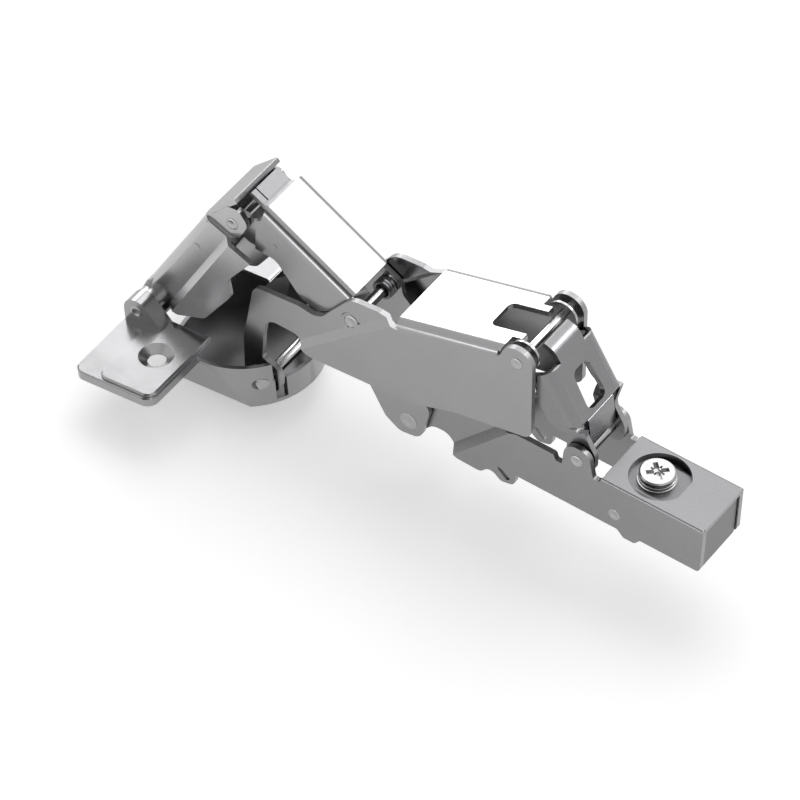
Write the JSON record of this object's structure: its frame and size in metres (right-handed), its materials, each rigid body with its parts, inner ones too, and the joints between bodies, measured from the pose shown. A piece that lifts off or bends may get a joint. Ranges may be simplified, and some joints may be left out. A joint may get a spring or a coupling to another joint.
{
  "type": "concealed cup hinge",
  "caption": "Concealed wide-angle cabinet hinge with a flanged cup, folding sheet-steel links on riveted pins and a clip-on arm.",
  "frame": {"origin": "on the underside of the carrier's top plate, the face that rests on the mounting plate, in the hinge's middle plane", "axes": "+X runs to the rear of the cabinet arm, +Y runs along the pivot pins, +Z points away from the cabinet side"},
  "size_m": [0.1508, 0.0704, 0.0612],
  "materials": {
    "plated_steel": "bright nickel plating on pressed sheet",
    "satin_steel": "duller plating on the inner pieces",
    "pin_steel": "plated pins with riveted ends",
    "screw_steel": "turned and plated",
    "spring_wire": "drawn spring wire"
  },
  "bodies": {
    "base": {"base_arm": "plated_steel", "plate_carrier": "satin_steel", "latch_pin": "pin_steel", "latch_spring": "spring_wire", "front_pivot_pin": "pin_steel", "rear_pivot_pin": "pin_steel"},
    "cam": {"cam_screw": "screw_steel", "cam_disc": "screw_steel"},
    "latch": {"clip_latch": "satin_steel"},
    "rear_link": {"rear_lever": "plated_steel"},
    "outer_link": {"outer_arm": "plated_steel"},
    "middle_link": {"middle_arm": "plated_steel", "top_pivot_pin": "pin_steel", "cross_pivot_pin": "pin_steel", "near_top_washer": "pin_steel", "far_top_washer": "pin_steel", "spring_washer": "pin_steel", "closing_spring": "spring_wire"},
    "cup_link": {"cup_lever": "plated_steel", "lever_pivot_pin": "pin_steel"},
    "door_cup": {"cup": "plated_steel", "knuckle_pin": "pin_steel", "cup_pin": "pin_steel"}
  },
  "joints": [
    {"name": "front_pivot", "type": "hinge", "parent": "base", "child": "outer_link", "pos_m": [-0.0689, 0, -0.01205], "axis": [0, -1, 0], "range_deg": [-89.8, 42]},
    {"name": "rear_pivot", "type": "hinge", "parent": "base", "child": "rear_link", "pos_m": [-0.0245, 0, 0.00395], "axis": [0, -1, 0], "range_deg": [-90, 42.2]},
    {"name": "cross_pivot", "type": "hinge", "parent": "outer_link", "child": "middle_link", "pos_m": [-0.0843, 0, 0.01165], "axis": [0, -1, 0], "range_deg": [-42.2, 90]},
    {"name": "lever_pivot", "type": "hinge", "parent": "outer_link", "child": "cup_link", "pos_m": [-0.1175, 0, 0.02205], "axis": [0, -1, 0], "range_deg": [-38.9, 82.9]},
    {"name": "knuckle_pivot", "type": "hinge", "parent": "cup_link", "child": "door_cup", "pos_m": [-0.1386, 0, -0.01355], "axis": [0, -1, 0], "range_deg": [-90, 42.2]},
    {"name": "cam_turn", "type": "hinge", "parent": "base", "child": "cam", "pos_m": [-0.0086, 0, 0], "axis": [0, 0, 1], "range_deg": [-180, 180]},
    {"name": "latch_pivot", "type": "hinge", "parent": "base", "child": "latch", "pos_m": [-0.0139, 0, -0.00665], "axis": [0, -1, 0], "range_deg": [0, 5]}
  ],
  "couplings": [
    {"joint": "rear_pivot", "follows": "front_pivot", "ratio": 1},
    {"joint": "cross_pivot", "follows": "front_pivot", "ratio": -1},
    {"joint": "lever_pivot", "follows": "front_pivot", "ratio": -0.92},
    {"joint": "knuckle_pivot", "follows": "front_pivot", "ratio": 1}
  ]
}
